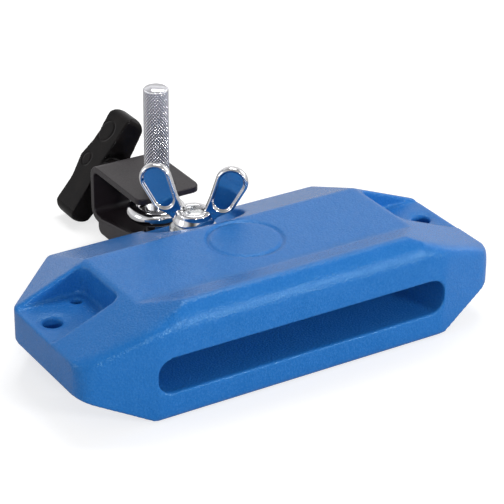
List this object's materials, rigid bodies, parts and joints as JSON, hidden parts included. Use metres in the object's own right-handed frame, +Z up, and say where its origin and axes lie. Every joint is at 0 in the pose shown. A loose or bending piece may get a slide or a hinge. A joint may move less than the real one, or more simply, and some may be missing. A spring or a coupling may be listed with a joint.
{
  "type": "percussion block",
  "caption": "Slotted moulded percussion block with eared ends and a steel clamp that holds it on an upright knurled rod.",
  "frame": {"origin": "on the flat underside of the block, midway between the two ear holes", "axes": "+X along the block, +Y from the sound slot towards the clamp, +Z up through the struck top"},
  "size_m": [0.168, 0.1578, 0.0706],
  "materials": {
    "blue_plastic": "moulded blue plastic with a fine pebble grain, soft gloss",
    "black_steel": "black powder coat, satin",
    "chrome": "bright chrome plate",
    "rod_chrome": "chrome plate over a fine diamond knurl",
    "zinc": "pale zinc plate",
    "black_plastic": "black plastic, satin faces with polished edges",
    "insert_brass": "turned brass"
  },
  "bodies": {
    "block_body": {"block": "blue_plastic", "clamp_bolt": "zinc", "flat_washer": "zinc"},
    "bracket_body": {"bracket": "black_steel", "arm": "black_steel", "knob_washer": "zinc"},
    "lock_washer_body": {"lock_washer": "zinc"},
    "wing_nut_body": {"wing_nut": "chrome"},
    "eye_bolt_body": {"eye_bolt": "chrome"},
    "knob_body": {"clamp_knob": "black_plastic", "knob_insert": "insert_brass"},
    "rod_body": {"rod": "rod_chrome"}
  },
  "joints": [
    {"name": "bracket_swing", "type": "hinge", "parent": "block_body", "child": "bracket_body", "pos_m": [0, 0.036, 0.005], "axis": [0, 0, 1], "range_deg": [-20, 20]},
    {"name": "nut_lift", "type": "slide", "parent": "block_body", "child": "lock_washer_body", "axis": [0, 0, 1], "range_m": [0, 0.0051]},
    {"name": "nut_turn", "type": "hinge", "parent": "lock_washer_body", "child": "wing_nut_body", "pos_m": [0, 0.036, 0.03], "axis": [0, 0, 1], "range_deg": [0, 1440]},
    {"name": "eye_slide", "type": "slide", "parent": "bracket_body", "child": "eye_bolt_body", "axis": [0, 1, 0], "range_m": [-0.00155, 0]},
    {"name": "knob_turn", "type": "hinge", "parent": "bracket_body", "child": "knob_body", "pos_m": [0, 0.1, 0.0204], "axis": [0, 1, 0], "range_deg": [0, 540]},
    {"name": "rod_slide", "type": "slide", "parent": "bracket_body", "child": "rod_body", "axis": [0, 0, 1], "range_m": [-0.03, 0.02]}
  ],
  "couplings": [
    {"joint": "nut_lift", "follows": "nut_turn", "m_per_rad": 0.00019894},
    {"joint": "eye_slide", "follows": "knob_turn", "m_per_rad": -0.00015915}
  ]
}
